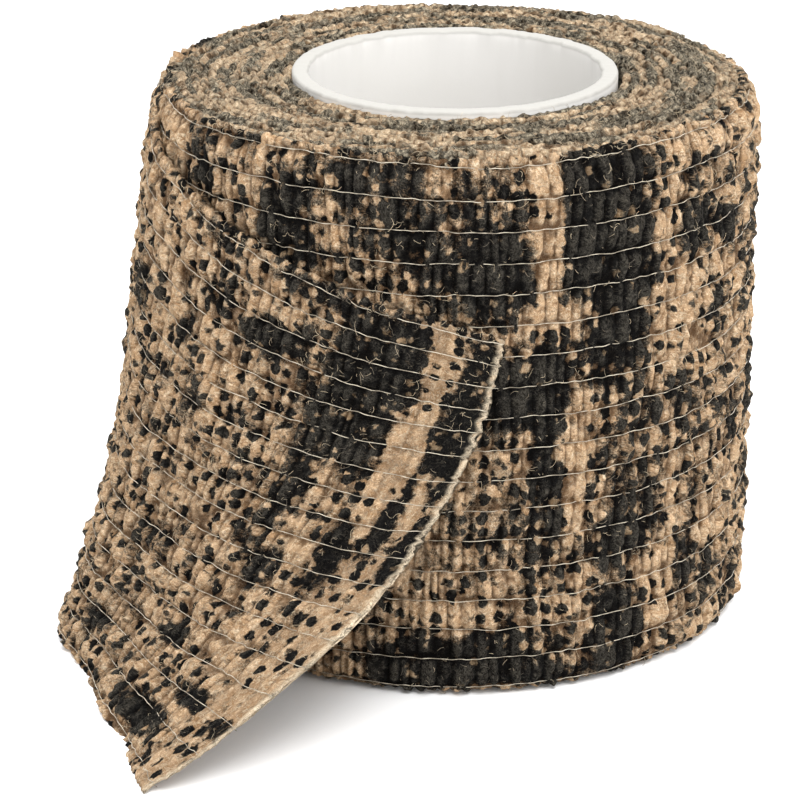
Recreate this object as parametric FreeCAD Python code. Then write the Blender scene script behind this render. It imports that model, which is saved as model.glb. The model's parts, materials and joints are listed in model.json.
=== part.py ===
"""A roll of self-gripping elastic crepe tape on a tube core, with a loose tail.

The tape is a laminate: a back web, a row of thin elastic yarns and a face web.
It is wound on the core as a spiral, counter-clockwise seen from above, and its
last stretch has peeled off the roll and stands round the roll's left side.
Millimetres.  +Z is the roll's axis, z = 0 is the face that it stands on.
"""
import FreeCAD, Part
import math
import os

Vector = FreeCAD.Vector

# The tape
TAPE_WIDTH = 50.0
WEB_THICKNESS = 0.28
YARN_THICKNESS = 0.14
YARN_WIDTH = 0.34
YARN_COUNT = 18
YARN_MARGIN = 0.86           # first and last yarn from the tape's edges

# The roll
CORE_OUTER_RADIUS = 14.9
CORE_WALL = 1.5
CORE_STAND_OUT = 0.4         # the core's top end above the tape's
CORE_FIT = 0.05              # radial clearance between the core and the first lap
LAP_COUNT = 16
LAP_GAP = 0.06               # between one lap and the next
RIM_ROUNDING = 2.4           # the outer laps' edges curl in by this much

# The tail
PEEL_AZIMUTH = 152.0         # where the tail leaves the roll, degrees from +X
PEEL_GAP = 0.25              # between the wound tape and the tail's root
TAIL_LENGTH = 64.0
LOW_EDGE_STRAIGHT = 21.5     # the edge on the ground: straight, a bend, straight
LOW_EDGE_BEND_RADIUS = 15.0
LOW_EDGE_TURN = 46.0
LOW_EDGE_RISE = 0.3          # degrees; the tilted edge stands on its inner corner
TOP_EDGE_SLACK = 0.94        # the top edge hugs the roll on a radius this much larger
TOP_EDGE_DIP = 17.2          # and runs downhill at this slope, degrees
DIP_RAMP = 20.0              # length over which the slope grows
DIP_HEIGHT_POWER = 1.4       # how fast the slope fades towards the low edge
BELLY_TURN = 13.0            # extra turn of the middle of the tape, degrees
BELLY_RISE = 8.0             # its lift towards the cut end, degrees
BELLY_SAG = 7.5              # its sag half way along, degrees

# Points for the curved plates
TAIL_STATIONS = 17
PLATE_ROWS = 9
WALK_STEP = 0.5

TAPE_THICKNESS = 2 * WEB_THICKNESS + YARN_THICKNESS
LAP_PITCH = TAPE_THICKNESS + LAP_GAP
FIRST_LAP_RADIUS = CORE_OUTER_RADIUS + CORE_FIT
PEEL_INNER_RADIUS = FIRST_LAP_RADIUS + LAP_COUNT * LAP_PITCH
ROLL_RADIUS = PEEL_INNER_RADIUS + TAPE_THICKNESS
YARN_PITCH = (TAPE_WIDTH - 2 * YARN_MARGIN) / (YARN_COUNT - 1)
TOP_EDGE_RADIUS = PEEL_INNER_RADIUS + TAPE_THICKNESS / 2 + TOP_EDGE_SLACK

# Each ply as its distances from the tape's back, inner side and outer side
BACK_WEB = (0.0, WEB_THICKNESS)
YARN_PLY = (WEB_THICKNESS, WEB_THICKNESS + YARN_THICKNESS)
FACE_WEB = (WEB_THICKNESS + YARN_THICKNESS, TAPE_THICKNESS)


def yarn_spans():
    """Bottom and top of each yarn across the tape."""
    centres = [YARN_MARGIN + YARN_PITCH * i for i in range(YARN_COUNT)]
    return [(c - YARN_WIDTH / 2, c + YARN_WIDTH / 2) for c in centres]


# ---------------------------------------------------------------- the roll

def spiral_arcs(depth):
    """Half-turn arcs about two centres in turn, `depth` out from the tape's back.

    The centres are half a lap pitch apart, so each arc runs smoothly into the
    next and the radius grows by one pitch in a turn.
    """
    arcs = []
    for half_turn in range(2 * LAP_COUNT):
        side = 1 if half_turn % 2 else -1
        centre = Vector(side * LAP_PITCH / 4, 0, 0)
        radius = FIRST_LAP_RADIUS + LAP_PITCH / 4 + half_turn * LAP_PITCH / 2 + depth
        circle = Part.Circle(centre, Vector(0, 0, 1), radius)
        start = math.pi * (half_turn % 2)
        arcs.append(circle.toShape(start, start + math.pi))
    return arcs


def wound_ply(ply, low, high):
    """One ply of the wound tape between two heights."""
    inner = spiral_arcs(ply[0])
    outer = spiral_arcs(ply[1])
    root = Part.makeLine(inner[0].valueAt(inner[0].FirstParameter),
                         outer[0].valueAt(outer[0].FirstParameter))
    end = Part.makeLine(inner[-1].valueAt(inner[-1].LastParameter),
                        outer[-1].valueAt(outer[-1].LastParameter))
    outline = Part.Wire(Part.__sortEdges__(inner + [end] + outer + [root]))
    band = Part.Face(outline).extrude(Vector(0, 0, high - low))
    band.translate(Vector(0, 0, low))
    band.rotate(Vector(0, 0, 0), Vector(0, 0, 1), PEEL_AZIMUTH)
    return band


def rim_limit():
    """The roll's outer shape: a drum whose two rims are rounded."""
    drum = Part.makeCylinder(ROLL_RADIUS, TAPE_WIDTH)
    rims = [edge for edge in drum.Edges if isinstance(edge.Curve, Part.Circle)]
    return drum.makeFillet(RIM_ROUNDING, rims)


def wound_web(ply):
    return wound_ply(ply, 0, TAPE_WIDTH).common(rim_limit())


def wound_yarns():
    limit = rim_limit()
    bands = [wound_ply(YARN_PLY, low, high) for low, high in yarn_spans()]
    return Part.makeCompound([band.common(limit) for band in bands])


def core():
    length = TAPE_WIDTH + CORE_STAND_OUT
    tube = Part.makeCylinder(CORE_OUTER_RADIUS, length)
    return tube.cut(Part.makeCylinder(CORE_OUTER_RADIUS - CORE_WALL, length))


# ---------------------------------------------------------------- the tail

def ease(share):
    share = min(max(share, 0.0), 1.0)
    return share * share * (3 - 2 * share)


def tail_direction(length, share):
    """Unit direction of the tape's line at height share `share`, `length` along."""
    turned = math.radians(LOW_EDGE_TURN)
    bend = (length - LOW_EDGE_STRAIGHT) / (LOW_EDGE_BEND_RADIUS * turned)
    low_turn = turned * min(max(bend, 0.0), 1.0)
    slope = math.radians(TOP_EDGE_DIP) * ease(length / DIP_RAMP)
    top_turn = length * math.cos(slope / 2) / TOP_EDGE_RADIUS
    belly = 4 * share * (1 - share)
    along = length / TAIL_LENGTH
    heading = math.radians(PEEL_AZIMUTH + 90) + (1 - share) * low_turn + share * top_turn
    heading += math.radians(BELLY_TURN) * belly * ease(along)
    dip = slope * share ** DIP_HEIGHT_POWER
    dip += math.radians(BELLY_SAG) * belly * math.sin(math.pi * along)
    dip -= math.radians(BELLY_RISE) * belly * ease(along)
    dip -= math.radians(LOW_EDGE_RISE) * (1 - share)
    return Vector(math.cos(dip) * math.cos(heading), math.cos(dip) * math.sin(heading),
                  -math.sin(dip))


def tail_line(share, lengths):
    """Mid-thickness points of the tape's line at a height share."""
    azimuth = math.radians(PEEL_AZIMUTH)
    radius = PEEL_INNER_RADIUS + TAPE_THICKNESS / 2
    point = Vector(radius * math.cos(azimuth), radius * math.sin(azimuth), TAPE_WIDTH * share)
    walked = 0.0
    points = []
    for length in lengths:
        steps = max(1, round((length - walked) / WALK_STEP))
        step = (length - walked) / steps
        for i in range(steps):
            point = point + tail_direction(walked + (i + 0.5) * step, share) * step
        walked = length
        points.append(point)
    return points


def tail_sheet(low, high, rows, depth):
    """A smooth surface of the tail, `depth` out from the tape's back."""
    free = TAIL_LENGTH - PEEL_GAP
    lengths = [PEEL_GAP + free * i / (TAIL_STATIONS - 1) for i in range(TAIL_STATIONS)]
    nudge = 0.01
    grid = []
    for row in range(rows):
        share = (low + (high - low) * row / (rows - 1)) / TAPE_WIDTH
        middle = tail_line(share, lengths)
        below = tail_line(max(share - nudge, 0.0), lengths)
        above = tail_line(min(share + nudge, 1.0), lengths)
        line = []
        for i, length in enumerate(lengths):
            normal = tail_direction(length, share).cross(above[i] - below[i])
            line.append(middle[i] + normal.normalize() * (depth - TAPE_THICKNESS / 2))
        grid.append(line)
    sheet = Part.BSplineSurface()
    sheet.interpolate(grid)
    return sheet


def tail_plate(ply, low, high, rows):
    """A closed solid between two surfaces of the tail."""
    inner = tail_sheet(low, high, rows, ply[0])
    outer = tail_sheet(low, high, rows, ply[1])
    first_u, last_u, first_v, last_v = inner.bounds()
    sides = []
    for end in (first_u, last_u):
        sides.append((inner.uIso(end).toShape(), outer.uIso(end).toShape()))
    for end in (first_v, last_v):
        sides.append((inner.vIso(end).toShape(), outer.vIso(end).toShape()))
    faces = [inner.toShape(), outer.toShape()]
    faces += [Part.makeRuledSurface(one, other) for one, other in sides]
    shell = Part.makeShell(faces)
    shell.sewShape()
    solid = Part.makeSolid(shell)
    if solid.Volume < 0:
        solid.reverse()
    return solid


def tail_yarns():
    return Part.makeCompound([tail_plate(YARN_PLY, low, high, 2) for low, high in yarn_spans()])


# ---------------------------------------------------------------- the pieces

def build():
    return {
        "core_tube": core(),
        "wound_back_web": wound_web(BACK_WEB),
        "wound_elastic_yarns": wound_yarns(),
        "wound_face_web": wound_web(FACE_WEB),
        "tail_back_web": tail_plate(BACK_WEB, 0, TAPE_WIDTH, PLATE_ROWS),
        "tail_elastic_yarns": tail_yarns(),
        "tail_face_web": tail_plate(FACE_WEB, 0, TAPE_WIDTH, PLATE_ROWS),
    }


os.makedirs("parts", exist_ok=True)
for name, shape in build().items():
    shape.exportStep("parts/" + name + ".step")
    box = shape.BoundBox
    print(name, "solids", len(shape.Solids), "valid", shape.isValid(),
          "volume %.1f" % shape.Volume,
          "x %.2f..%.2f y %.2f..%.2f z %.2f..%.2f"
          % (box.XMin, box.XMax, box.YMin, box.YMax, box.ZMin, box.ZMax))
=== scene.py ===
"""The looks of the self-gripping crepe tape roll: crinkled tape, yarns, core, print and studio."""
import json
import math

import bpy
import numpy as np
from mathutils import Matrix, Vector


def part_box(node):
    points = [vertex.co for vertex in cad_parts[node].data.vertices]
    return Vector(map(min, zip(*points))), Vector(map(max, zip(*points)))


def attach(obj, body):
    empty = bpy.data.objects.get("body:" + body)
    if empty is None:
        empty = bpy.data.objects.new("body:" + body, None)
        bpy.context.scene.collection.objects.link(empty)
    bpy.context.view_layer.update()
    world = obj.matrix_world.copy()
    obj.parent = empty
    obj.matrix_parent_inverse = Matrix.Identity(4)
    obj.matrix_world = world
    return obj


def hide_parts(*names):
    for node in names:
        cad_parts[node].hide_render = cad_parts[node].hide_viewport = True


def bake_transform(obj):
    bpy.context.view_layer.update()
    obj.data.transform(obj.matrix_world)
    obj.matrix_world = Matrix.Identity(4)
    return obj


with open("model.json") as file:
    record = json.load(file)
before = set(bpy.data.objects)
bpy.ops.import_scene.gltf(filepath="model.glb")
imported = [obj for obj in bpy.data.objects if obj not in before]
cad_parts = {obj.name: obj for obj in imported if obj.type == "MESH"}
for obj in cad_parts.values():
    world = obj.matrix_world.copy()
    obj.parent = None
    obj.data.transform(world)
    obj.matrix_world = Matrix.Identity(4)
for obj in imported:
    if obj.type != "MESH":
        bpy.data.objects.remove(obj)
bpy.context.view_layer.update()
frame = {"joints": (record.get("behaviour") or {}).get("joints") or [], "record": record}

# ---------------------------------------------------------------- sizes, in millimetres

MM = 0.001
record = frame["record"]
mounts = {m["name"]: m for m in record["mounts"]}
joints = {j["name"]: j for j in frame["joints"]}
web_low, web_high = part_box("wound_face_web")
core_low, core_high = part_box("core_tube")

TAPE_WIDTH = (web_high.z - web_low.z) / MM
CORE_LENGTH = (core_high.z - core_low.z) / MM
CORE_RADIUS = core_high.x / MM
BORE_RADIUS = mounts["core_bore"]["dims"]["r_mm"]
peel_x, peel_y, _ = joints["tail_peel"]["pos_m"]
PEEL_RADIUS = math.hypot(peel_x, peel_y) / MM      # the tape's face at the peel line
PEEL_AZIMUTH = math.atan2(peel_y, peel_x)

TAPE_THICKNESS = 0.70
LAP_PITCH = 0.76
CORE_FIT = 0.05
YARN_COUNT = 18
YARN_MARGIN = 0.86           # first and last yarn from the tape's edges
YARN_RADIUS = 0.034
FIBRE_RADIUS = 0.015
YARN_PITCH = (TAPE_WIDTH - 2 * YARN_MARGIN) / (YARN_COUNT - 1)
BACK_RADIUS = PEEL_RADIUS - TAPE_THICKNESS          # the tape's back at the peel line
FIRST_RADIUS = CORE_RADIUS + CORE_FIT
WOUND_TURNS = (BACK_RADIUS - FIRST_RADIUS) / LAP_PITCH
MID_DEPTH = TAPE_THICKNESS / 2

# The tail's shape, as in the CAD model
TAIL_LENGTH = 64.0
LOW_EDGE_STRAIGHT = 21.5
LOW_EDGE_BEND_RADIUS = 15.0
LOW_EDGE_TURN = math.radians(46.0)
LOW_EDGE_RISE = math.radians(0.3)
TOP_EDGE_RADIUS = 28.4
TOP_EDGE_DIP = math.radians(17.2)
DIP_RAMP = 20.0
DIP_HEIGHT_POWER = 1.4
BELLY_TURN = math.radians(13.0)
BELLY_RISE = math.radians(8.0)
BELLY_SAG = math.radians(7.5)

# The crepe
RIB_PITCH = 1.18
RIB_HEIGHT = 0.78
FLAT_END = 13.0              # the tail's relief fades over this length before the cut
ALONG_STEP = 0.145
ACROSS_STEP = 0.205
EDGE_ROUND = 0.5             # the tape's edges thin out over this width
EDGE_FRINGE = 1.2            # and are ragged this deep
TAIL_ALONG_STEP = 0.19
TAIL_ACROSS_STEP = 0.26
INNER_STEP = 0.18            # both ways on the inner laps
INNER_EDGE = 1.8             # their crepe is modelled this far from each edge
INNER_ROUGHNESS = 0.5        # the share of the ribs that their edges keep
YARN_STEP = 0.3

# The rims: the outer laps' edges curl inward
CURL_WIDTH = 3.6
CURL_DEPTH = 1.35
CURL_LAPS = 6.0              # the curl dies out over this many laps
CURL_FADE = 26.0             # and over this length of the tail
BASE_CURL_WIDTH = 0.6 * CURL_WIDTH
BASE_CURL = 0.55             # the base curls by this share of the top's curl
CURL_SETTLE = 0.35           # a curled edge also draws to mid-height by this share


# ---------------------------------------------------------------- smooth random fields

LATTICE = np.random.default_rng(7).random((2048, 512)) * 2 - 1


def field(x, y, seed):
    """Smooth random values from -1 to 1, one lattice cell for each unit of x and y."""
    x, y = np.broadcast_arrays(np.asarray(x, float) + seed * 37.31, np.asarray(y, float) + seed * 11.77)
    x_cell, y_cell = np.floor(x), np.floor(y)
    fx, fy = x - x_cell, y - y_cell
    fx, fy = fx * fx * (3 - 2 * fx), fy * fy * (3 - 2 * fy)
    i, j = x_cell.astype(int) % LATTICE.shape[0], y_cell.astype(int) % LATTICE.shape[1]
    i2, j2 = (i + 1) % LATTICE.shape[0], (j + 1) % LATTICE.shape[1]
    low = LATTICE[i, j] * (1 - fx) + LATTICE[i2, j] * fx
    high = LATTICE[i, j2] * (1 - fx) + LATTICE[i2, j2] * fx
    return low * (1 - fy) + high * fy


def cell_random(x, y, seed):
    """One random value from -1 to 1 for each whole-number cell."""
    i = (np.floor(x).astype(int) * 7 + seed * 131) % LATTICE.shape[0]
    j = (np.floor(y).astype(int) * 3 + seed * 29) % LATTICE.shape[1]
    return LATTICE[i, j]


def ease(share):
    share = np.clip(share, 0, 1)
    return share * share * (3 - 2 * share)


# ---------------------------------------------------------------- where the tape runs
# `along` is the distance along the tape from the peel line: wound tape is negative, the tail
# positive.  `across` is the height on the tape, and `depth` the distance out from its back.

def wound_angle(along):
    """Angle turned since the tape's start on the core, radians."""
    growth = LAP_PITCH / (2 * math.pi)
    total = 2 * math.pi * WOUND_TURNS
    whole = (FIRST_RADIUS + MID_DEPTH) * total + growth * total ** 2 / 2
    length = np.maximum(whole + along, 0)
    start = FIRST_RADIUS + MID_DEPTH
    return (np.sqrt(start ** 2 + 2 * growth * length) - start) / growth


def rim_shares(across):
    """How far a height is into the rims' curl, 0 to 1, at the top and at the base."""
    near_top = np.clip((across - (TAPE_WIDTH - CURL_WIDTH)) / CURL_WIDTH, 0, 1)
    return near_top, np.clip((BASE_CURL_WIDTH - across) / BASE_CURL_WIDTH, 0, 1)


def uneven_rim(along, across, laps_out):
    """The laps' top edges stand a little higher and lower than one another."""
    return 0.34 * field(along / 17.0, laps_out * 3.1, 5) * ease((across - 40) / 10)


def wound_frame(along, across):
    """Mid-thickness points and outward normals of the wound tape."""
    angle = wound_angle(along)
    radius = FIRST_RADIUS + MID_DEPTH + LAP_PITCH * angle / (2 * math.pi)
    laps_out = WOUND_TURNS - angle / (2 * math.pi)
    azimuth = PEEL_AZIMUTH + angle - 2 * math.pi * WOUND_TURNS
    curl = CURL_DEPTH * np.clip(1 - laps_out / CURL_LAPS, 0, 1) ** 2
    near_top, near_base = rim_shares(across)
    inward = curl * (near_top ** 2 + BASE_CURL * near_base ** 2)
    settle = CURL_SETTLE * curl * (near_base ** 2 - near_top ** 2)
    uneven = uneven_rim(along, across, laps_out)
    radius = radius - inward
    azimuth = np.broadcast_to(azimuth, radius.shape)
    points = np.stack([radius * np.cos(azimuth), radius * np.sin(azimuth),
                       across + settle + uneven], -1)
    tilt = 2 * curl * (near_top - BASE_CURL * near_base) / CURL_WIDTH
    normals = np.stack([np.cos(azimuth), np.sin(azimuth), tilt], -1)
    return points, normals / np.linalg.norm(normals, axis=-1, keepdims=True)


def tail_frame(lengths, across):
    """The same for the tail, walked from the peel line in small steps."""
    step = 0.1
    walked = np.arange(step / 2, TAIL_LENGTH + 1, step)[:, None]
    share = across[None, :] / TAPE_WIDTH
    bend = (walked - LOW_EDGE_STRAIGHT) / (LOW_EDGE_BEND_RADIUS * LOW_EDGE_TURN)
    low_turn = LOW_EDGE_TURN * np.clip(bend, 0, 1)
    slope = TOP_EDGE_DIP * ease(walked / DIP_RAMP)
    top_turn = walked * np.cos(slope / 2) / TOP_EDGE_RADIUS
    belly = 4 * share * (1 - share)
    gone = walked / TAIL_LENGTH
    heading = PEEL_AZIMUTH + math.pi / 2 + (1 - share) * low_turn + share * top_turn
    heading = heading + BELLY_TURN * belly * ease(gone)
    dip = slope * share ** DIP_HEIGHT_POWER + BELLY_SAG * belly * np.sin(math.pi * gone)
    dip = dip - BELLY_RISE * belly * ease(gone) - LOW_EDGE_RISE * (1 - share)
    direction = np.stack([np.cos(dip) * np.cos(heading), np.cos(dip) * np.sin(heading),
                          -np.sin(dip)], -1)
    radius = BACK_RADIUS + MID_DEPTH
    root = np.stack([np.full_like(across, radius * math.cos(PEEL_AZIMUTH)),
                     np.full_like(across, radius * math.sin(PEEL_AZIMUTH)), across], -1)
    line = np.concatenate([root[None], root[None] + np.cumsum(direction * step, 0)])
    place = np.clip(lengths / step, 0, len(line) - 2)
    cell = np.floor(place).astype(int)
    part = (place - cell)[:, None, None]
    points = line[cell] * (1 - part) + line[cell + 1] * part
    tangent = line[cell + 1] - line[cell]
    curl = CURL_DEPTH * (1 - ease(lengths / CURL_FADE))[:, None]
    near_top, near_base = rim_shares(across[None, :])
    outside = np.stack([tangent[..., 1], -tangent[..., 0], np.zeros_like(tangent[..., 0])], -1) / step
    points = points - outside * (curl * (near_top ** 2 + BASE_CURL * near_base ** 2))[..., None]
    points[..., 2] += CURL_SETTLE * curl * (near_base ** 2 - near_top ** 2)
    points[..., 2] += uneven_rim(lengths[:, None], across[None, :], 0.0)
    upward = np.gradient(points, across, axis=1)
    normals = np.cross(tangent, upward)
    return points, normals / np.linalg.norm(normals, axis=-1, keepdims=True)


def tape_frame(along, across):
    """Points and outward normals on a grid, one row of points for each value of `along`."""
    wound = along < 0
    points = np.zeros((len(along), len(across), 3))
    normals = np.zeros_like(points)
    if wound.any():
        points[wound], normals[wound] = wound_frame(along[wound][:, None], across[None, :])
    if (~wound).any():
        points[~wound], normals[~wound] = tail_frame(along[~wound], across)
    return points, normals


# ---------------------------------------------------------------- the crepe's relief

def yarn_band(across):
    """Which gap between yarns a height is in, and where in that gap, 0 to 1."""
    place = (across - YARN_MARGIN) / YARN_PITCH
    band = np.floor(place)
    return band, place - band


def crepe(along, across, seed):
    """Relief of one web: rounded ribs across the tape, pinched in at every yarn."""
    band, inside = yarn_band(across)
    phase = along / RIB_PITCH + 0.55 * field(along / 4.1, across / 8.0, seed)
    phase = phase + 0.85 * field(along / 2.6, band * 7.3, seed + 1)
    rib = np.abs(np.sin(math.pi * phase)) ** 0.55
    puff = 0.16 + 0.84 * np.sin(math.pi * np.clip(inside, 0, 1)) ** 0.45
    size = 0.74 + 0.40 * cell_random(phase, band, seed + 2)
    lumps = 0.20 * field(along / 0.42, across / 0.50, seed + 3)
    lumps = lumps + 0.20 * field(along / 0.95, across / 1.05, seed + 4)
    relief = RIB_HEIGHT * rib * puff * size + lumps * (0.35 + 0.65 * rib)
    flat = ease((TAIL_LENGTH - along) / FLAT_END)
    return relief * (0.36 + 0.64 * flat)


def ripple(along, across):
    """Slow waves of the loose tail, out of its surface."""
    loose = ease(along / 20.0)
    edge = np.abs(2 * across / TAPE_WIDTH - 1) ** 3
    wave = 0.55 * field(along / 7.0, across / 12.0, 21)
    wave = wave + 0.30 * edge * field(along / 4.0, across / 20.0, 22)
    low = ease((22 - across) / 18) * ease((along - 30) / 16)
    fold = np.sin((along + 0.35 * across) / 1.5 + 1.6 * field(along / 8.0, across / 9.0, 23))
    wave = wave + 0.22 * low * fold
    lift = 0.95 * ease((along - 14) / 24) - 0.30 * ease(along / 10)
    rest = lift * ease((across - 34) / 14) - 0.40 * (1 - ease(across / 36))
    return loose * (wave + rest)


# ---------------------------------------------------------------- the print
# Each spot is (place along, height, half length, half height, ink).  Ink above zero makes
# charcoal, below zero tan; between them the dots of the print decide.

ROLL_SPOTS = [               # the first value is the azimuth in degrees
    (216, 46, 2.5, 2.5, 0.9), (238, 43, 2.6, 4.5, 1.0), (248, 47, 2.4, 2.5, 0.6),
    (258, 45, 3.6, 4.5, 0.8), (270, 40.5, 5.0, 4.5, 0.9), (279, 39.5, 3.0, 4.5, 1.0),
    (267, 48, 2.2, 2.0, 0.3), (276, 47, 2.6, 2.4, 0.6), (287, 43.5, 1.3, 7.0, -0.7),
    (300, 40, 4.5, 10.5, 1.45), (293.5, 46, 1.6, 4.5, 0.9), (290, 35.3, 3.6, 2.0, -0.7),
    (283.5, 29, 3.7, 3.9, 1.3), (275, 30, 1.6, 3.8, 0.8), (287.5, 19, 1.3, 6.5, 1.2),
    (293, 21, 1.6, 4.5, -0.5), (306, 20, 3.6, 8.0, 0.55), (302, 13.5, 4.2, 2.6, 0.9),
    (264, 3.0, 5.0, 3.0, 1.0), (279, 3.6, 4.6, 2.8, 1.2), (290, 1.2, 3.0, 1.3, 0.8),
    (302.5, 5.0, 3.2, 4.0, 1.25), (296, 5.0, 0.9, 4.0, -0.5), (312, 6.0, 1.4, 6.0, -0.5),
    (321, 41, 2.6, 2.4, 1.2), (332, 40, 2.0, 2.0, 1.1), (311.5, 45, 2.0, 4.0, -0.4),
    (313, 34, 2.2, 5.0, -0.6), (329, 33, 1.8, 1.2, 1.0), (318, 25, 1.2, 3.0, 0.7),
    (319, 10, 1.6, 3.4, 0.8), (328, 7.5, 2.2, 2.4, 0.8), (338, 20, 1.5, 4.0, 0.6),
    (345, 36, 2.0, 3.0, 0.7), (342, 5.0, 2.5, 2.5, 0.7), (262, 19, 4.0, 7.0, 0.30),
    (275, 16, 4.5, 6.0, 0.38), (325, 18, 3.5, 6.0, 0.20),
]
TAIL_SPOTS = [               # the first value is the distance from the peel line
    (25.5, 37.0, 2.0, 1.8, 1.1), (37.5, 43.0, 1.6, 1.7, 1.1), (43.8, 42.0, 3.1, 2.0, 1.2),
    (47.0, 44.5, 1.3, 1.5, 0.8), (37.5, 33.0, 1.4, 2.4, 0.8), (34.0, 37.5, 1.0, 1.0, 0.8),
    (36.5, 49.0, 3.2, 1.1, 0.9), (47.0, 48.7, 3.8, 1.2, 0.9), (53.6, 41.0, 4.0, 8.4, 1.45),
    (62.4, 44.5, 1.6, 6.5, 1.0), (61.8, 35.0, 1.9, 5.5, 1.4), (58.8, 43.5, 0.75, 8.0, -1.3),
    (58.0, 34.0, 1.5, 5.0, -1.2), (57.6, 28.0, 1.1, 3.8, -1.0), (61.3, 27.5, 0.8, 5.0, -1.0),
    (59.8, 27.0, 1.1, 3.6, 1.5), (57.0, 23.5, 1.2, 4.2, 1.3), (62.8, 24.0, 1.4, 3.0, 1.3),
    (50.0, 28.5, 1.5, 5.0, 1.0), (48.8, 22.5, 1.8, 2.6, 0.8), (52.2, 19.5, 1.4, 2.6, 0.9),
    (62.0, 14.0, 2.6, 7.5, -0.25), (52.5, 3.0, 5.2, 1.5, 1.3), (56.0, 6.4, 2.6, 1.1, 1.0),
    (47.5, 10.0, 3.0, 1.1, 0.8), (40.5, 9.0, 2.4, 1.6, 0.8), (36.0, 5.0, 2.0, 1.8, 0.8),
    (62.4, 5.6, 1.6, 0.9, 1.0), (62.3, 1.4, 2.2, 1.5, -1.0), (31.0, 17.0, 1.6, 2.4, 0.6),
    (28.0, 7.0, 2.2, 1.6, 0.6), (45.0, 30.0, 2.5, 6.0, 0.25), (40.0, 20.0, 6.0, 9.0, 0.16),
    (6.0, 40.0, 3.0, 4.0, 0.8), (12.0, 31.0, 2.0, 3.0, 0.8), (10.0, 12.0, 3.0, 3.0, 0.5),
]
QUIET_INK = -0.33


def spread(along, across, spots):
    """The ink that a list of spots lays down, each even inside and soft at its edge."""
    total = np.zeros(np.broadcast(along, across).shape)
    for place, height, half_length, half_height, strength in spots:
        far = ((along - place) / half_length) ** 2 + ((across - height) / half_height) ** 2
        total += strength * np.exp(-(far / 1.25) ** 2)
    return total


def ink(along, across):
    """How dark the print is at a place on the tape, before its dots.

    The spots rule the front and the tail; elsewhere the print is `wild`, and random.
    """
    wild = -0.08 + 1.25 * field(along / 4.6, across / 5.5, 31)
    wild = wild + 0.55 * field(along / 1.9, across / 2.6, 32)
    azimuth = PEEL_AZIMUTH + wound_angle(along) - 2 * math.pi * WOUND_TURNS
    front = (azimuth > PEEL_AZIMUTH - 2 * math.pi + math.radians(50)) & (along < 0)
    turned = np.degrees(azimuth) + 360
    arc = math.radians(1) * PEEL_RADIUS
    roll = QUIET_INK + spread(turned * arc, across, [(a * arc, *rest) for a, *rest in ROLL_SPOTS])
    tail = QUIET_INK + spread(along, across, TAIL_SPOTS)
    chosen = np.where(along < 0, roll, tail) + 0.34 * field(along / 1.5, across / 2.6, 33)
    chosen = chosen + 0.22 * field(along / 3.4, across / 3.0, 34)
    shown = ease((turned - 205) / 8) * ease((352 - turned) / 8) * front
    shown = np.where(along < 0, shown, ease((along - 1) / 3))
    return wild * (1 - shown) + chosen * shown


# ---------------------------------------------------------------- meshes

def shell_mesh(name, ring_points, tape_coords, ink_values, relief):
    """A mesh from closed rings of points, one after the other, with both ends capped.

    The print's coordinates go in the attribute "tape", its ink in "ink", the height of the
    crepe in "relief", and the map OFBake unrolls the rings flat.
    """
    count, size = ring_points.shape[:2]
    i, j = np.meshgrid(np.arange(count - 1), np.arange(size), indexing="ij")
    j2 = (j + 1) % size
    quads = np.stack([i * size + j, (i + 1) * size + j, (i + 1) * size + j2, i * size + j2], -1)
    quads = quads.reshape(-1, 4)
    corners = np.stack([np.stack([i, j], -1), np.stack([i + 1, j], -1),
                        np.stack([i + 1, j + 1], -1), np.stack([i, j + 1], -1)], 2)
    maps = corners.reshape(-1, 2) / np.array([count - 1, size])
    loops = quads.ravel()
    starts = np.arange(len(quads)) * 4
    totals = np.full(len(quads), 4)
    caps = [np.arange(size)[::-1], (count - 1) * size + np.arange(size)]
    for cap, edge in zip(caps, (0.0, 1.0)):
        starts = np.append(starts, len(loops))
        totals = np.append(totals, size)
        loops = np.append(loops, cap)
        rows = (cap % size) / size
        maps = np.vstack([maps, np.stack([np.full(size, edge), rows], -1)])
    mesh = bpy.data.meshes.new(name)
    mesh.vertices.add(count * size)
    mesh.vertices.foreach_set("co", (ring_points.reshape(-1) * MM).astype(np.float32))
    mesh.loops.add(len(loops))
    mesh.loops.foreach_set("vertex_index", loops.astype(np.int32))
    mesh.polygons.add(len(starts))
    mesh.polygons.foreach_set("loop_start", starts.astype(np.int32))
    mesh.polygons.foreach_set("loop_total", totals.astype(np.int32))
    mesh.update(calc_edges=True)
    layer = mesh.uv_layers.new(name="OFBake")
    layer.data.foreach_set("uv", (0.004 + 0.992 * maps).ravel().astype(np.float32))
    tape = mesh.attributes.new("tape", "FLOAT_VECTOR", "POINT")
    tape.data.foreach_set("vector", tape_coords.reshape(-1).astype(np.float32))
    shade = mesh.attributes.new("ink", "FLOAT", "POINT")
    shade.data.foreach_set("value", ink_values.reshape(-1).astype(np.float32))
    crown = mesh.attributes.new("relief", "FLOAT", "POINT")
    crown.data.foreach_set("value", relief.reshape(-1).astype(np.float32))
    mesh.polygons.foreach_set("use_smooth", np.ones(len(starts), bool))
    mesh.validate()
    piece = bpy.data.objects.new(name, mesh)
    bpy.context.scene.collection.objects.link(piece)
    return piece


def unit(vectors):
    return vectors / np.linalg.norm(vectors, axis=-1, keepdims=True)


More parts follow.
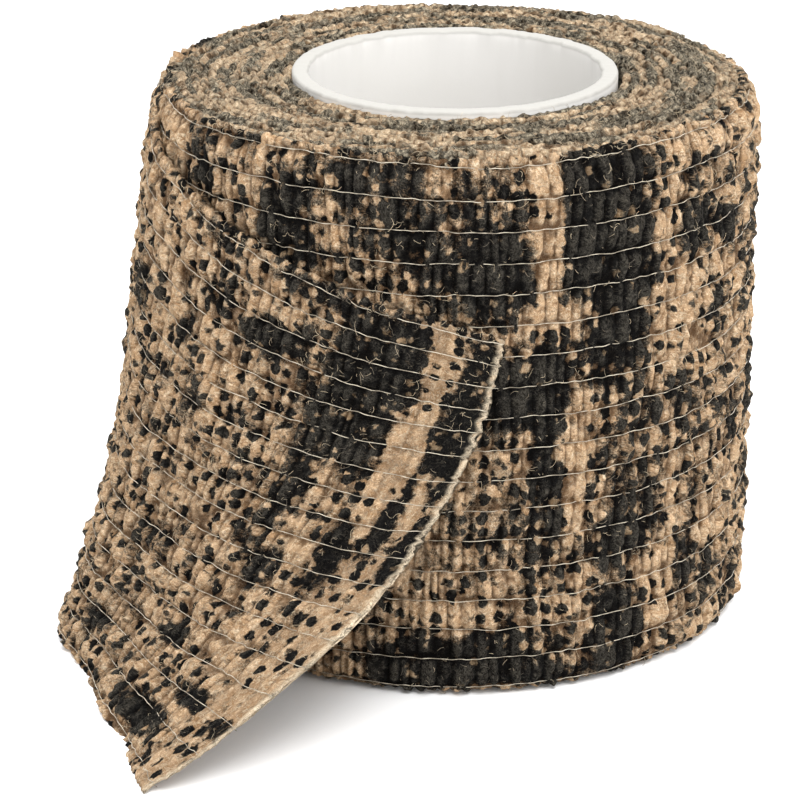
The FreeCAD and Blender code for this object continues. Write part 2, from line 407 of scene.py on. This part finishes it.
def web_surface(along, across, outward, seed, rough=1.0):
    """Points of one side of the tape, out from its middle by the crepe's relief.

    The relief itself comes with them, from 0 in a groove to 1 on a crown.
    """
    points, normals = tape_frame(along, across)
    a, w = along[:, None], across[None, :]
    edge = np.minimum(w, TAPE_WIDTH - w)
    cut = np.where(a > 0, TAIL_LENGTH - a, EDGE_ROUND)
    from_edge = np.clip(np.minimum(edge, cut) / EDGE_ROUND, 0.0, 1)
    thin = 0.30 + 0.70 * np.sqrt(1 - (1 - from_edge) ** 2)
    relief = crepe(a, w, seed)
    half = 0.04 + relief * rough + (1 - rough) * (0.30 + 0.38 * field(a / 0.34, w / 0.30, 45 + seed))
    shift = (ripple(a, w) * (a > 0))[..., None]
    surface = points + normals * (shift + outward * (half * thin)[..., None])
    lap = np.floor(wound_angle(a) / (2 * math.pi) + 0.37)
    fringe = 0.11 * field(a / 0.8, lap * 5.7, 41) + 0.20 * field(a / 0.33, lap * 3.3, 42)
    top = ease((w - (TAPE_WIDTH - EDGE_FRINGE)) / EDGE_FRINGE) * fringe
    base = ease((EDGE_FRINGE - w) / EDGE_FRINGE) * np.abs(fringe)
    surface = surface + unit(np.gradient(points, across, axis=1)) * (top + base)[..., None]
    jag = 0.34 * np.abs(field(w / 1.1, 0, 43)) + 0.30 * np.abs(field(w / 0.4, 0, 44))
    pull = jag * ease((a - TAIL_LENGTH + 3) / 3)
    surface = surface - unit(np.gradient(points, axis=0)) * pull[..., None]
    return surface, np.clip(relief / (0.85 * RIB_HEIGHT), 0, 1)


def tape_strip(name, along, outer_rows, back_rows, rough=1.0):
    """A closed strip of tape, its face over outer_rows and its back over back_rows.

    The points of its face come with it.
    """
    face, face_relief = web_surface(along, outer_rows, 1, 3, rough)
    back, back_relief = web_surface(along, back_rows[::-1], -1, 13, rough)
    ring = np.concatenate([face, back], 1)
    relief = np.concatenate([face_relief, back_relief], 1)
    across = np.concatenate([outer_rows, back_rows[::-1]])
    side = np.concatenate([np.zeros(len(outer_rows)), np.ones(len(back_rows))])
    shape = (len(along), len(across))
    coords = np.stack([np.broadcast_to(along[:, None], shape), np.broadcast_to(across, shape),
                       np.broadcast_to(side, shape)], -1)
    piece = shell_mesh(name, ring, coords, ink(along[:, None], across[None, :]), relief)
    return piece, face


def rows_between(low, high, step):
    return np.linspace(low, high, max(2, int(round((high - low) / step)) + 1))


def edge_rows(depth, step):
    """Rows near both edges of the tape, and two to join them."""
    base = rows_between(0, depth, step)
    return np.concatenate([base, TAPE_WIDTH - base[::-1]])


TAIL_ROOT = -8.0             # the tail's piece takes in this much wound tape
BLEND_REACH = 3.0            # the tail's fuzz starts this much tape, and half a millimetre more, past the peel line
OUTER_TURNS = 1.06           # the outer lap starts a little way under its own end
OUTER_START = TAIL_ROOT - OUTER_TURNS * 2 * math.pi * BACK_RADIUS
STRETCHES = 4                # the laps are made in this many pieces
ALL_ROWS = rows_between(0, TAPE_WIDTH, ACROSS_STEP)


def steps_along(low, high, step):
    return np.linspace(low, high, int(round((high - low) / step)) + 1)


def build_tail():
    along = steps_along(TAIL_ROOT, TAIL_LENGTH, TAIL_ALONG_STEP)
    rows = rows_between(0, TAPE_WIDTH, TAIL_ACROSS_STEP)
    return tape_strip("tail_tape", along, rows, rows)


def build_outer_lap():
    """The last turn before the tail, in a few stretches, its back plain but for its edges."""
    ends = np.linspace(OUTER_START, TAIL_ROOT, STRETCHES + 1)
    back_rows = edge_rows(3.0, 0.5)
    pieces = []
    for number, (low, high) in enumerate(zip(ends, ends[1:]), 1):
        along = steps_along(low, high, ALONG_STEP)
        pieces.append(tape_strip("outer_lap_%d" % number, along, ALL_ROWS, back_rows))
    return zip(*pieces)


def build_inner_laps():
    """The laps inside it, plain but for their edges, which are what shows."""
    start = -(math.pi * WOUND_TURNS * (FIRST_RADIUS + BACK_RADIUS + TAPE_THICKNESS)) + 0.5
    ends = np.linspace(start, OUTER_START, STRETCHES + 1)
    rows = edge_rows(INNER_EDGE, INNER_STEP)
    pieces = []
    for number, (low, high) in enumerate(zip(ends, ends[1:]), 1):
        along = steps_along(low, high, INNER_STEP)
        pieces.append(tape_strip("inner_laps_%d" % number, along, rows, rows, INNER_ROUGHNESS))
    return zip(*pieces)


# ---------------------------------------------------------------- yarns

def tube_points(path, normals, radius, sides=5):
    """Rings of a thin tube round a path."""
    tangent = np.gradient(path, axis=0)
    tangent /= np.linalg.norm(tangent, axis=1, keepdims=True)
    across = np.cross(tangent, normals)
    across /= np.linalg.norm(across, axis=1, keepdims=True)
    upright = np.cross(across, tangent)
    turn = 2 * math.pi * np.arange(sides) / sides
    return (path[:, None, :] + radius * (np.cos(turn)[None, :, None] * upright[:, None, :]
                                         + np.sin(turn)[None, :, None] * across[:, None, :]))


def yarn_line(along, number, outward):
    """One yarn's path: it lies in the pinch between the puffs, a little uneven."""
    height = YARN_MARGIN + YARN_PITCH * number
    reach = 0.3
    wander = 0.13 * field(along / 3.5, number * 5.3, 51) + 0.09 * field(along / 0.7, number * 3.7, 52)
    grid, out = tape_frame(along, np.array([height - reach, height, height + reach]))
    slope = (wander / reach)[:, None]
    points = grid[:, 1] + slope * (grid[:, 2] - grid[:, 0]) / 2
    normals = out[:, 1]
    lift = 0.12 + 0.27 * (0.42 + 0.58 * ease((TAIL_LENGTH - along) / FLAT_END))
    lift = lift + 0.09 * field(along / 1.6, number * 9.1, 53) + 0.08 * field(along / 0.7, number * 4.1, 54)
    shift = ripple(along, height) * (along > 0)
    return points + normals * (shift + outward * lift)[:, None], normals


def build_yarns(name, low, high, outward):
    """All the yarns over a stretch of tape, as one piece."""
    along = steps_along(low, high, YARN_STEP)
    parts = []
    for number in range(YARN_COUNT):
        path, normals = yarn_line(along, number, outward)
        ring = tube_points(path, normals * outward, YARN_RADIUS)
        shape = ring.shape[:2]
        coords = np.stack([np.broadcast_to(along[:, None], shape),
                           np.full(shape, YARN_MARGIN + YARN_PITCH * number), np.zeros(shape)], -1)
        flat = np.zeros(shape)
        parts.append(shell_mesh("%s_%02d" % (name, number), ring, coords, flat, flat))
    return join(parts, name)


def join(parts, name):
    bpy.ops.object.select_all(action="DESELECT")
    for part in parts:
        part.select_set(True)
    bpy.context.view_layer.objects.active = parts[0]
    bpy.ops.object.join()
    whole = bpy.context.view_layer.objects.active
    whole.name = name
    whole.data.name = name
    return whole


# ---------------------------------------------------------------- loose fibres

def grow_fuzz(name, faces, count, rim_share, seed):
    """Loose curled fibres standing on the tape, thicker along its top edge."""
    rng = np.random.default_rng(seed)
    roots, alongs, ups, outs = [], [], [], []
    for face in faces:
        share = count // len(faces)
        rows = face.shape[1]
        i = rng.integers(2, face.shape[0] - 2, share)
        rim_rows = rows - 1 - rng.integers(0, max(2, rows // 40), share)
        j = np.where(rng.random(share) < rim_share, rim_rows, rng.integers(1, rows - 1, share))
        j = np.clip(j, 1, rows - 2)
        along = unit(face[i + 2, j] - face[i - 2, j])
        up = unit(face[i, j + 1] - face[i, j - 1])
        roots.append(face[i, j])
        alongs.append(along)
        ups.append(up)
        outs.append(unit(np.cross(along, up)))
    root, along, up, out = (np.concatenate(each) for each in (roots, alongs, ups, outs))
    total = len(root)
    turn = rng.random(total) * 2 * math.pi
    side = along * np.cos(turn)[:, None] + up * np.sin(turn)[:, None]
    other = np.cross(out, side)
    length = (0.28 + 0.75 * rng.random(total) ** 2)[:, None]
    height = length * (0.12 + 0.34 * rng.random(total)[:, None])
    curl = length * (rng.random(total)[:, None] - 0.5) * 2.2
    path = []
    for part in np.linspace(0, 1, 6):
        reach = side * length * part * (1 - 0.25 * part) + other * curl * part ** 2
        path.append(root + reach + out * (height * math.sin(2.6 * part) - 0.03))
    path = np.stack(path, 1)
    sides = 3
    rings = []
    grain = 1e-9             # keeps a fibre's frame defined where it runs straight out
    for k in range(path.shape[1]):
        before, after = path[:, max(k - 1, 0)], path[:, min(k + 1, path.shape[1] - 1)]
        across = unit(np.cross(after - before, out) + grain)
        upright = unit(np.cross(across, after - before) + grain)
        ring = []
        for corner in range(sides):
            angle = 2 * math.pi * corner / sides
            ring.append(path[:, k] + FIBRE_RADIUS * (math.cos(angle) * across + math.sin(angle) * upright))
        rings.append(np.stack(ring, 1))
    points = np.stack(rings, 1)
    length_count = points.shape[1]
    base = np.arange(total)[:, None, None] * length_count * sides
    k, c = np.meshgrid(np.arange(length_count - 1), np.arange(sides), indexing="ij")
    k, c, c2 = k.ravel(), c.ravel(), (c.ravel() + 1) % sides
    quads = np.stack([k * sides + c, (k + 1) * sides + c, (k + 1) * sides + c2, k * sides + c2], -1)
    quads = (base + quads[None]).reshape(-1, 4)
    mesh = bpy.data.meshes.new(name)
    mesh.vertices.add(total * length_count * sides)
    mesh.vertices.foreach_set("co", (points.reshape(-1) * MM).astype(np.float32))
    mesh.loops.add(quads.size)
    mesh.loops.foreach_set("vertex_index", quads.ravel().astype(np.int32))
    mesh.polygons.add(len(quads))
    mesh.polygons.foreach_set("loop_start", (np.arange(len(quads)) * 4).astype(np.int32))
    mesh.polygons.foreach_set("loop_total", np.full(len(quads), 4, np.int32))
    mesh.update(calc_edges=True)
    piece = bpy.data.objects.new(name, mesh)
    bpy.context.scene.collection.objects.link(piece)
    return piece


# ---------------------------------------------------------------- the core

def build_core():
    """A tube with softly broken rims and a slight burr round the inner one."""
    wall = CORE_RADIUS - BORE_RADIUS
    soft = 0.30
    steps = 6
    corners = [                # centres, from the outer top rim round to the outer base rim
        (CORE_RADIUS - soft, CORE_LENGTH - soft),
        (BORE_RADIUS + soft, CORE_LENGTH - soft),
        (BORE_RADIUS + soft, soft),
        (CORE_RADIUS - soft, soft),
    ]
    profile = []
    for number, (centre_radius, centre_height) in enumerate(corners):
        for k in range(steps + 1):
            turn = math.pi / 2 * (number + k / steps)
            profile.append((centre_radius + soft * math.cos(turn),
                            centre_height + soft * math.sin(turn)))
        if number == 1:
            heights = np.linspace(CORE_LENGTH - 1.2, 1.2, 24)
            profile += [(BORE_RADIUS, height) for height in heights]
    profile.append((CORE_RADIUS, CORE_LENGTH / 2))
    profile = np.array(profile)
    turns = np.linspace(0, 2 * math.pi, 361)[:-1]
    radius, height = profile[:, 0][None, :], profile[:, 1][None, :]
    arc = turns[:, None] * BORE_RADIUS
    near_rim = np.exp(-((CORE_LENGTH - height) / 0.5) ** 2)
    around = np.stack([np.cos(turns), np.sin(turns)], -1) * 9
    burr = 0.10 * field(around[:, :1] * 2.1 + 40, around[:, 1:] * 2.1 + 40, 61)
    burr = burr + 0.07 * field(around[:, :1] * 6.0 + 90, around[:, 1:] * 6.0 + 90, 62)
    inner = radius < BORE_RADIUS + 0.6 * wall
    radius = radius + near_rim * burr * inner
    height = height + near_rim * 0.5 * burr
    ring = np.stack([radius * np.cos(turns)[:, None], radius * np.sin(turns)[:, None],
                     np.broadcast_to(height, radius.shape)], -1)
    count, size = ring.shape[:2]
    i, j = np.meshgrid(np.arange(count), np.arange(size), indexing="ij")
    i2, j2 = (i + 1) % count, (j + 1) % size
    quads = np.stack([i * size + j, i * size + j2, i2 * size + j2, i2 * size + j], -1).reshape(-1, 4)
    mesh = bpy.data.meshes.new("core")
    mesh.from_pydata((ring.reshape(-1, 3) * MM).tolist(), [], quads.tolist())
    mesh.polygons.foreach_set("use_smooth", np.ones(len(quads), bool))
    mesh.update()
    piece = bpy.data.objects.new("core", mesh)
    bpy.context.scene.collection.objects.link(piece)
    return piece


# ---------------------------------------------------------------- materials

class Shader:
    """A few short words for building a node material."""

    def __init__(self, name):
        self.material = bpy.data.materials.new(name)
        self.material.use_nodes = True
        self.tree = self.material.node_tree
        self.surface = self.tree.nodes["Principled BSDF"]

    def node(self, kind, **settings):
        node = self.tree.nodes.new(kind)
        for key, value in settings.items():
            setattr(node, key, value)
        return node

    def put(self, socket, value):
        if isinstance(value, bpy.types.NodeSocket):
            self.tree.links.new(value, socket)
        else:
            socket.default_value = value

    def math(self, operation, *values):
        node = self.node("ShaderNodeMath", operation=operation)
        for socket, value in zip(node.inputs, values):
            self.put(socket, value)
        return node.outputs[0]

    def attribute(self, name, output):
        return self.node("ShaderNodeAttribute", attribute_name=name).outputs[output]

    def scaled(self, vector, factors):
        node = self.node("ShaderNodeVectorMath", operation="MULTIPLY")
        self.put(node.inputs[0], vector)
        node.inputs[1].default_value = factors
        return node.outputs[0]

    def added(self, one, other):
        node = self.node("ShaderNodeVectorMath", operation="ADD")
        self.put(node.inputs[0], one)
        self.put(node.inputs[1], other)
        return node.outputs[0]

    def noise(self, vector, scale, detail=3.0, roughness=0.55, output=0, distortion=0.0):
        node = self.node("ShaderNodeTexNoise")
        self.put(node.inputs["Vector"], vector)
        node.inputs["Scale"].default_value = scale
        node.inputs["Detail"].default_value = detail
        node.inputs["Roughness"].default_value = roughness
        node.inputs["Distortion"].default_value = distortion
        return node.outputs[output]

    def span(self, value, low, high, to_low=0.0, to_high=1.0):
        node = self.node("ShaderNodeMapRange", interpolation_type="SMOOTHSTEP")
        self.put(node.inputs["Value"], value)
        limits = {"From Min": low, "From Max": high, "To Min": to_low, "To Max": to_high}
        for key, number in limits.items():
            self.put(node.inputs[key], number)
        return node.outputs[0]

    def mix(self, share, one, other, blend="MIX"):
        node = self.node("ShaderNodeMix", data_type="RGBA", blend_type=blend)
        self.put(node.inputs[0], share)
        self.put(node.inputs[6], one)
        self.put(node.inputs[7], other)
        return node.outputs[2]

    def bump(self, height, strength, distance, normal=None):
        node = self.node("ShaderNodeBump")
        self.put(node.inputs["Height"], height)
        node.inputs["Strength"].default_value = strength
        node.inputs["Distance"].default_value = distance
        if normal is not None:
            self.put(node.inputs["Normal"], normal)
        return node.outputs[0]


def linear(red, green, blue):
    """A colour given as it looks on a screen, 0 to 255, as the renderer wants it."""
    def one(value):
        value = value / 255
        return value / 12.92 if value <= 0.04045 else ((value + 0.055) / 1.055) ** 2.4
    return (one(red), one(green), one(blue), 1.0)


TAN = linear(223, 189, 151)
TAN_SOILED = linear(132, 114, 88)
TAN_DEEP = linear(183, 147, 109)
TAN_DARK = linear(124, 94, 64)
TAN_PALE = linear(250, 232, 202)
CHARCOAL = linear(27, 26, 25)
CHARCOAL_DEEP = linear(8, 8, 8)
CHARCOAL_PALE = linear(88, 83, 74)
# painted glints: the pale colour of the bright specks on the crepe
GLINT_PALE = linear(216, 199, 170)
# painted shade: the colour multiplied into the crepe's grooves and pits
GROOVE_SHADE = (0.20, 0.16, 0.135, 1.0)


def printed(s, tape, breakup):
    """How dark the print is, 0 to 1: blotches that break up into dots as big as a puff."""
    ink_value = s.attribute("ink", "Fac")
    rough_edge = s.noise(tape, 1.3, detail=4, output=1)
    jitter = s.scaled(s.added(rough_edge, (-0.5, -0.5, -0.5)), (0.90, 0.90, 0.0))
    place = s.added(s.scaled(tape, (1.0, 1.0, 0.0)), jitter)
    layers = [                 # stretch along and across, seed, swing, lowest, inner and outer radius
        ((0.72, 0.62, 1.0), 3.3, 4.4, -1.50, 0.14, 0.45),
        ((1.15, 0.95, 1.0), 19.7, 1.8, -0.95, 0.14, 0.44),
    ]
    raw = ink_value
    for stretch, seed, swing, lowest, inner, outer in layers:
        dots = s.node("ShaderNodeTexVoronoi", voronoi_dimensions="2D", feature="F1")
        s.put(dots.inputs["Vector"], s.added(s.scaled(place, stretch), (seed, seed, 0.0)))
        dots.inputs["Scale"].default_value = 1.0
        dots.inputs["Randomness"].default_value = 0.62
        chance = s.node("ShaderNodeSeparateColor")
        s.put(chance.inputs[0], dots.outputs["Color"])
        dot = s.span(dots.outputs["Distance"], inner, outer, 1.0, 0.0)
        offset = s.math("MULTIPLY_ADD", chance.outputs[0], swing * breakup, lowest * breakup)
        raw = s.math("MULTIPLY_ADD", offset, dot, raw)
    grain = s.math("SUBTRACT", s.noise(tape, 2.6, detail=5, roughness=0.72), 0.5)
    raw = s.math("MULTIPLY_ADD", grain, 1.2, raw)
    fluff = s.math("SUBTRACT", s.noise(tape, 6.5, detail=3, roughness=0.7), 0.5)
    raw = s.math("MULTIPLY_ADD", fluff, 1.3, raw)
    return s.span(raw, -0.46, 0.40)


def squiggles(s, place, scale, width):
    """Thin curly lines, 1 on a line."""
    value = s.noise(place, scale, detail=1.2, roughness=0.5, distortion=0.9)
    away = s.math("ABSOLUTE", s.math("SUBTRACT", value, 0.5))
    return s.span(away, 0.0, width, 1.0, 0.0)


def crepe_material(name, dust):
    """Tan crepe printed with charcoal, with fibres over it, painted shade in its grooves and painted
    highlights.

    `dust` greys it and evens its print, which is the look of the laps' edges.
    """
    s = Shader(name)
    tape = s.attribute("tape", "Vector")
    relief = s.attribute("relief", "Fac")
    dark = printed(s, tape, 0.35 if dust else 1.0)

    mottle = s.noise(tape, 0.7, detail=5)
    fibre = s.noise(s.scaled(tape, (1.0, 0.7, 1.0)), 4.6, detail=4, roughness=0.78, distortion=1.4)
    tone = s.span(fibre, 0.37, 0.63)
    loops = s.math("MAXIMUM", squiggles(s, tape, 1.7, 0.034),
                   squiggles(s, s.added(tape, (7.3, 1.9, 4.1)), 2.9, 0.050))
    patch = s.span(s.noise(tape, 1.1, detail=2), 0.40, 0.62, 0.10, 1.0)
    loops = s.math("MULTIPLY", loops, patch)
    crown = s.span(relief, 0.45, 0.95)

    tan = s.mix(s.span(mottle, 0.35, 0.65), TAN, TAN_DEEP)
    tan = s.mix(s.math("MULTIPLY", s.math("SUBTRACT", 1.0, tone), 0.50), tan, TAN_DARK)
    tan = s.mix(s.span(fibre, 0.52, 0.68, 0.0, 0.70), tan, TAN_PALE)
    tan = s.mix(s.math("MULTIPLY", loops, 0.60), tan, TAN_PALE)
    soiled = s.span(s.attribute("ink", "Fac"), 0.15, 0.95, 0.0, 0.62)
    tan = s.mix(soiled, tan, TAN_SOILED)
    coal = s.mix(tone, CHARCOAL_DEEP, CHARCOAL)
    # painted highlight: the charcoal is lightened on the crepe's crowns, mottled by the fibre noise
    coal = s.mix(s.math("MULTIPLY", crown, s.span(fibre, 0.44, 0.64, 0.08, 0.85)), coal, CHARCOAL_PALE)
    coal = s.mix(s.math("MULTIPLY", loops, 0.60), coal, CHARCOAL_PALE)
    colour = s.mix(dark, tan, coal)

    # painted glints: sparse bright specks from a noise, lightening the crepe
    glint_specks = s.span(s.noise(s.added(tape, (3.1, 8.7, 0.0)), 5.2, detail=2), 0.735, 0.79)
    colour = s.mix(s.math("MULTIPLY", glint_specks, 0.8), colour, GLINT_PALE)
    if dust:
        grit = s.noise(tape, 2.6, detail=5, roughness=0.8)
        dusty = s.mix(s.span(grit, 0.38, 0.62), linear(84, 80, 70), linear(236, 220, 190))
        colour = s.mix(s.span(grit, 0.40, 0.60, dust * 0.5, dust * 1.5), colour, dusty)
    split = s.node("ShaderNodeSeparateXYZ")
    s.put(split.inputs[0], tape)
    cut_edge = s.span(split.outputs[0], TAIL_LENGTH - 0.80, TAIL_LENGTH - 0.10)
    colour = s.mix(s.math("MULTIPLY", cut_edge, s.span(fibre, 0.40, 0.56, 0.25, 0.95)), colour, TAN_PALE)

    # painted shade: the grooves, and pits from a noise, are darkened, less so over the tail's flat end
    pit_shade = s.span(s.noise(tape, 2.2, detail=3), 0.34, 0.47, 0.55, 0.0)
    groove = s.math("MAXIMUM", s.span(relief, 0.06, 0.66, 1.0, 0.0), pit_shade)
    shaded = s.mix(1.0, colour, GROOVE_SHADE, blend="MULTIPLY")
    depth = s.span(split.outputs[0], TAIL_LENGTH - FLAT_END, TAIL_LENGTH - 2.0, 0.92, 0.34)
    colour = s.mix(s.math("MULTIPLY", groove, depth), colour, shaded)
    s.put(s.surface.inputs["Base Color"], colour)
    s.put(s.surface.inputs["Roughness"], s.span(fibre, 0.35, 0.75, 0.92, 0.70))
    s.surface.inputs["Specular IOR Level"].default_value = 0.06
    lumps = s.bump(s.noise(tape, 2.2, detail=3), 1.0, 0.00045)
    height = s.math("MULTIPLY_ADD", loops, 0.35, fibre)
    s.put(s.surface.inputs["Normal"], s.bump(height, 1.0, 0.00024, lumps))
    return s.material


def yarn_material():
    """Thin elastic with fluff of both colours caught on it."""
    s = Shader("yarn_elastic")
    place = s.attribute("tape", "Vector")
    tone = s.noise(place, 0.9, detail=4)
    colour = s.mix(s.span(tone, 0.40, 0.60), linear(196, 185, 166), linear(136, 126, 110))
    s.put(s.surface.inputs["Base Color"], colour)
    s.put(s.surface.inputs["Roughness"], s.span(tone, 0.3, 0.7, 0.35, 0.55))
    s.surface.inputs["Specular IOR Level"].default_value = 0.45
    return s.material


def fuzz_material():
    """Straw-coloured single fibres."""
    s = Shader("loose_fibre")
    place = s.node("ShaderNodeTexCoord").outputs["Object"]
    tone = s.noise(place, 500.0, detail=2)
    colour = s.mix(s.span(tone, 0.35, 0.65), linear(206, 188, 158), linear(92, 84, 74))
    s.put(s.surface.inputs["Base Color"], colour)
    s.surface.inputs["Roughness"].default_value = 0.6
    s.surface.inputs["Specular IOR Level"].default_value = 0.3
    return s.material


def core_material():
    """Matt off-white plastic, slightly clouded, its top rim darkened by painted shade."""
    s = Shader("core_plastic")
    place = s.node("ShaderNodeTexCoord").outputs["Object"]
    cloud = s.noise(place, 60.0, detail=3)
    marks = s.noise(s.scaled(place, (1.0, 1.0, 0.10)), 420.0, detail=2)
    speck = s.noise(place, 2600.0, detail=2)
    colour = s.mix(s.span(cloud, 0.3, 0.7), linear(214, 212, 209), linear(209, 207, 203))
    colour = s.mix(s.span(marks, 0.5, 0.8, 0.0, 0.22), colour, linear(202, 200, 196))
    split = s.node("ShaderNodeSeparateXYZ")
    s.put(split.inputs[0], place)
    # painted shade: the rim on top is darkened
    top = s.span(split.outputs[2], (CORE_LENGTH - 0.5) * MM, (CORE_LENGTH - 0.1) * MM)
    colour = s.mix(top, colour, linear(166, 164, 159))
    s.put(s.surface.inputs["Base Color"], colour)
    s.put(s.surface.inputs["Roughness"], s.span(cloud, 0.3, 0.7, 0.62, 0.74))
    s.surface.inputs["Specular IOR Level"].default_value = 0.25
    normal = s.bump(marks, 0.05, 0.0001)
    s.put(s.surface.inputs["Normal"], s.bump(speck, 0.12, 0.00004, normal))
    return s.material


def floor_material():
    s = Shader("floor_pale")
    place = s.node("ShaderNodeTexCoord").outputs["Object"]
    tone = s.noise(place, 3.0, detail=2)
    s.put(s.surface.inputs["Base Color"], s.mix(tone, (0.93, 0.93, 0.93, 1), (0.95, 0.95, 0.95, 1)))
    s.surface.inputs["Roughness"].default_value = 0.9
    s.surface.inputs["Specular IOR Level"].default_value = 0.0
    return s.material


# ---------------------------------------------------------------- the studio

CAMERA_PLACE = (0.0, -299.9, 131.75)     # millimetres
CAMERA_YAW = -0.0167                     # radians
CAMERA_PITCH = 0.3628
CAMERA_LENS = 152.4
SENSOR_WIDTH = 36.0
FLOOR_SIZE = 3.0                         # metres, as are the lights' places and sizes
LIGHT_AIM = (0, 0, 0.02)
WORLD_STRENGTH = 1.27


def build_studio():
    bpy.ops.mesh.primitive_grid_add(x_subdivisions=8, y_subdivisions=8, size=FLOOR_SIZE)
    floor = bpy.context.object
    floor.name = "floor"
    floor.data.materials.append(floor_material())

    camera_data = bpy.data.cameras.new("camera")
    camera_data.lens = CAMERA_LENS
    camera_data.sensor_width = SENSOR_WIDTH
    camera_data.clip_start = 0.01
    camera = bpy.data.objects.new("camera", camera_data)
    bpy.context.scene.collection.objects.link(camera)
    camera.location = [c * MM for c in CAMERA_PLACE]
    forward = Vector((math.sin(CAMERA_YAW) * math.cos(CAMERA_PITCH),
                      math.cos(CAMERA_YAW) * math.cos(CAMERA_PITCH), -math.sin(CAMERA_PITCH)))
    camera.rotation_euler = forward.to_track_quat("-Z", "Y").to_euler()
    bpy.context.scene.camera = camera

    lights = [                 # name, place, size, power
        ("key", (0.14, -0.32, 0.60), 0.34, 3.8),
        ("fill", (0.60, -0.30, 0.30), 0.6, 1.3),
        ("top", (-0.16, 0.10, 0.76), 0.6, 2.15),
    ]
    for name, place, size, power in lights:
        data = bpy.data.lights.new(name, "AREA")
        data.size = size
        data.energy = power
        lamp = bpy.data.objects.new(name, data)
        bpy.context.scene.collection.objects.link(lamp)
        lamp.location = place
        aim = Vector(LIGHT_AIM) - Vector(place)
        lamp.rotation_euler = aim.to_track_quat("-Z", "Y").to_euler()

    world = bpy.data.worlds.new("studio")
    world.use_nodes = True
    background = world.node_tree.nodes["Background"]
    background.inputs["Color"].default_value = (1, 1, 1, 1)
    background.inputs["Strength"].default_value = WORLD_STRENGTH
    bpy.context.scene.world = world
    bpy.context.scene.view_settings.view_transform = "Standard"
    bpy.context.scene.view_settings.look = "None"


# ---------------------------------------------------------------- putting it together

crepe_face = crepe_material("crepe_print", 0.0)
crepe_edge = crepe_material("crepe_print_edges", 0.34)
yarn = yarn_material()
fibre = fuzz_material()

tail, tail_face = build_tail()
tail.data.materials.append(crepe_face)
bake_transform(tail)
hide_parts("tail_face_web", "tail_back_web")

outer, outer_faces = build_outer_lap()
for piece in outer:
    piece.data.materials.append(crepe_face)
    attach(piece, "roll")
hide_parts("wound_face_web", "wound_back_web")

inner, inner_faces = build_inner_laps()
for piece in inner:
    piece.data.materials.append(crepe_edge)
    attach(piece, "roll")

wound_yarns = build_yarns("wound_yarns", OUTER_START + 2, TAIL_ROOT, 1)
wound_yarns.data.materials.append(yarn)
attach(wound_yarns, "roll")
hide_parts("wound_elastic_yarns")

for name, outward in (("tail_yarns_face", 1), ("tail_yarns_back", -1)):
    threads = build_yarns(name, TAIL_ROOT, TAIL_LENGTH - 0.3, outward)
    threads.data.materials.append(yarn)
    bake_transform(threads)
    if outward > 0:
        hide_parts("tail_elastic_yarns")

fuzz_start = int((BLEND_REACH + 0.5 - TAIL_ROOT) / (TAIL_LENGTH - TAIL_ROOT) * len(tail_face))
fuzz = [                       # name, faces to grow on, fibres, share of them on the rim, body
    ("outer_lap_fuzz", outer_faces, 6400, 0.15, "roll"),
    ("inner_laps_fuzz", inner_faces, 3600, 1.0, "roll"),
    ("tail_fuzz", [tail_face[fuzz_start:]], 3200, 0.06, "tail"),
]
for seed, (name, faces, count, rim_share, body) in enumerate(fuzz, 71):
    piece = grow_fuzz(name, list(faces), count, rim_share, seed)
    piece.data.materials.append(fibre)
    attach(piece, body)

core = build_core()
core.data.materials.append(core_material())
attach(core, "core")
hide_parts("core_tube")

build_studio()
